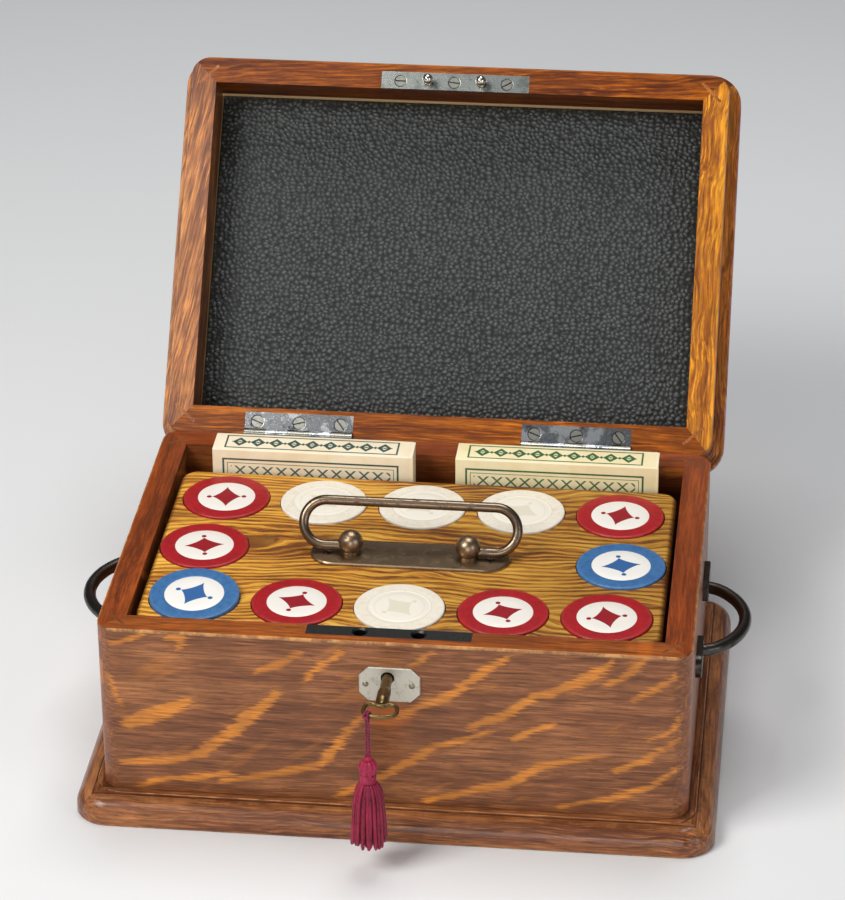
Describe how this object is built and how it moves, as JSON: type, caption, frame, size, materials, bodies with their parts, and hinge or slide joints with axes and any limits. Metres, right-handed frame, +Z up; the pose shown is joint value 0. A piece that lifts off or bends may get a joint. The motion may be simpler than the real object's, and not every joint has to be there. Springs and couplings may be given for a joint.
{
  "type": "poker chip case",
  "caption": "Antique oak poker chip case, lid open: lift-out chip rack with folding handle, two card boxes, iron side handles, lock and tasselled key.",
  "frame": {"origin": "centre of the case on the surface it stands on", "axes": "+X to the case's right seen from the front, +Y from the front with the lock to the hinged back, +Z up"},
  "size_m": [0.3016, 0.3583, 0.2369],
  "materials": {
    "oak_case": "aged varnish, satin",
    "oak_lid": "aged varnish, satin",
    "oak_base": "aged varnish, worn edges",
    "oak_rack": "open-grained, satin",
    "oak_inside": "dark stain, matte",
    "leather": "pebbled, semi-matte",
    "nickel": "polished, lightly tarnished",
    "nickel_satin": "satin",
    "lock_steel": "dark, worn",
    "iron": "dark bronzed, rubbed",
    "steel_aged": "aged, rubbed bright",
    "key_bronze": "dark patina",
    "chip_red": "polished composition",
    "chip_blue": "polished composition",
    "chip_white": "polished composition",
    "card_box": "printed, matte",
    "cards": "matte",
    "silk": "silk sheen"
  },
  "bodies": {
    "case": {"base_mouldings": "oak_base", "bottom_panel": "oak_inside", "case_front_wall": "oak_case", "case_back_wall": "oak_case", "case_left_wall": "oak_case", "case_right_wall": "oak_case", "case_corner_splines": "oak_lid", "case_screws": "nickel", "deck_riser": "oak_inside", "hinge_case_leaves": "nickel", "hinge_pins": "nickel", "lock_selvedge": "lock_steel", "lock_case": "lock_steel", "escutcheon": "nickel_satin", "escutcheon_pins": "nickel_satin", "side_handle_left": "iron", "side_handle_right": "iron", "side_handle_screws": "iron"},
    "lid": {"lid_front_rail": "oak_lid", "lid_back_rail": "oak_lid", "lid_left_rail": "oak_lid", "lid_right_rail": "oak_lid", "lid_corner_splines": "oak_lid", "lid_top_panel": "oak_lid", "lid_lining_board": "oak_inside", "lid_leather_pad": "leather", "hinge_lid_leaves": "nickel", "strike_plate": "nickel", "strike_studs": "nickel", "lid_screws": "nickel"},
    "key": {"key": "key_bronze", "tassel_hitch": "silk"},
    "tassel": {"tassel_cord": "silk", "tassel_head": "silk", "tassel_skirt": "silk"},
    "bolt": {"lock_bolt": "lock_steel"},
    "rack": {"rack_block": "oak_rack", "rack_floor": "oak_inside", "handle_plate": "steel_aged", "handle_posts": "steel_aged", "handle_screws": "steel_aged"},
    "bail": {"handle_bail": "steel_aged"},
    "deck_left": {"deck_left_box": "card_box", "deck_left_cards": "cards"},
    "deck_right": {"deck_right_box": "card_box", "deck_right_cards": "cards"},
    "stack_back_1": {"chips_back_1": "chip_red"},
    "stack_back_2": {"chips_back_2": "chip_white"},
    "stack_back_3": {"chips_back_3": "chip_white"},
    "stack_back_4": {"chips_back_4": "chip_white"},
    "stack_back_5": {"chips_back_5": "chip_red"},
    "stack_middle_1": {"chips_middle_1": "chip_red"},
    "stack_middle_2": {"chips_middle_2": "chip_blue"},
    "stack_front_1": {"chips_front_1": "chip_blue"},
    "stack_front_2": {"chips_front_2": "chip_red"},
    "stack_front_3": {"chips_front_3": "chip_white"},
    "stack_front_4": {"chips_front_4": "chip_red"},
    "stack_front_5": {"chips_front_5": "chip_red"}
  },
  "joints": [
    {"name": "lid_hinge", "type": "hinge", "parent": "case", "child": "lid", "pos_m": [0, 0.09, 0.0936], "axis": [-1, 0, 0], "range_deg": [-127.5, 0]},
    {"name": "key_turn", "type": "hinge", "parent": "case", "child": "key", "pos_m": [-0.0014, -0.0911, 0.0769], "axis": [0, 1, 0], "range_deg": [-90, 0]},
    {"name": "bolt_slide", "type": "slide", "parent": "case", "child": "bolt", "axis": [1, 0, 0], "range_m": [0, 0.004]},
    {"name": "tassel_swing", "type": "hinge", "parent": "key", "child": "tassel", "pos_m": [-0.0063, -0.1224, 0.0769], "axis": [0, 1, 0], "range_deg": [-25, 115]},
    {"name": "rack_lift", "type": "slide", "parent": "case", "child": "rack", "axis": [0, 0, 1], "range_m": [0, 0.095]},
    {"name": "bail_fold", "type": "hinge", "parent": "rack", "child": "bail", "pos_m": [-0.0008, -0.014, 0.0958], "axis": [1, 0, 0], "range_deg": [-59, 125]},
    {"name": "deck_left_lift", "type": "slide", "parent": "case", "child": "deck_left", "axis": [0, 0, 1], "range_m": [0, 0.07]},
    {"name": "deck_right_lift", "type": "slide", "parent": "case", "child": "deck_right", "axis": [0, 0, 1], "range_m": [0, 0.07]},
    {"name": "lift_back_1", "type": "slide", "parent": "rack", "child": "stack_back_1", "axis": [0, 0, 1], "range_m": [0, 0.08]},
    {"name": "lift_back_2", "type": "slide", "parent": "rack", "child": "stack_back_2", "axis": [0, 0, 1], "range_m": [0, 0.08]},
    {"name": "lift_back_3", "type": "slide", "parent": "rack", "child": "stack_back_3", "axis": [0, 0, 1], "range_m": [0, 0.08]},
    {"name": "lift_back_4", "type": "slide", "parent": "rack", "child": "stack_back_4", "axis": [0, 0, 1], "range_m": [0, 0.08]},
    {"name": "lift_back_5", "type": "slide", "parent": "rack", "child": "stack_back_5", "axis": [0, 0, 1], "range_m": [0, 0.08]},
    {"name": "lift_middle_1", "type": "slide", "parent": "rack", "child": "stack_middle_1", "axis": [0, 0, 1], "range_m": [0, 0.08]},
    {"name": "lift_middle_2", "type": "slide", "parent": "rack", "child": "stack_middle_2", "axis": [0, 0, 1], "range_m": [0, 0.08]},
    {"name": "lift_front_1", "type": "slide", "parent": "rack", "child": "stack_front_1", "axis": [0, 0, 1], "range_m": [0, 0.08]},
    {"name": "lift_front_2", "type": "slide", "parent": "rack", "child": "stack_front_2", "axis": [0, 0, 1], "range_m": [0, 0.08]},
    {"name": "lift_front_3", "type": "slide", "parent": "rack", "child": "stack_front_3", "axis": [0, 0, 1], "range_m": [0, 0.08]},
    {"name": "lift_front_4", "type": "slide", "parent": "rack", "child": "stack_front_4", "axis": [0, 0, 1], "range_m": [0, 0.08]},
    {"name": "lift_front_5", "type": "slide", "parent": "rack", "child": "stack_front_5", "axis": [0, 0, 1], "range_m": [0, 0.08]}
  ],
  "couplings": [
    {"joint": "key_turn", "follows": "bolt_slide", "rad_per_m": -392.69}
  ]
}
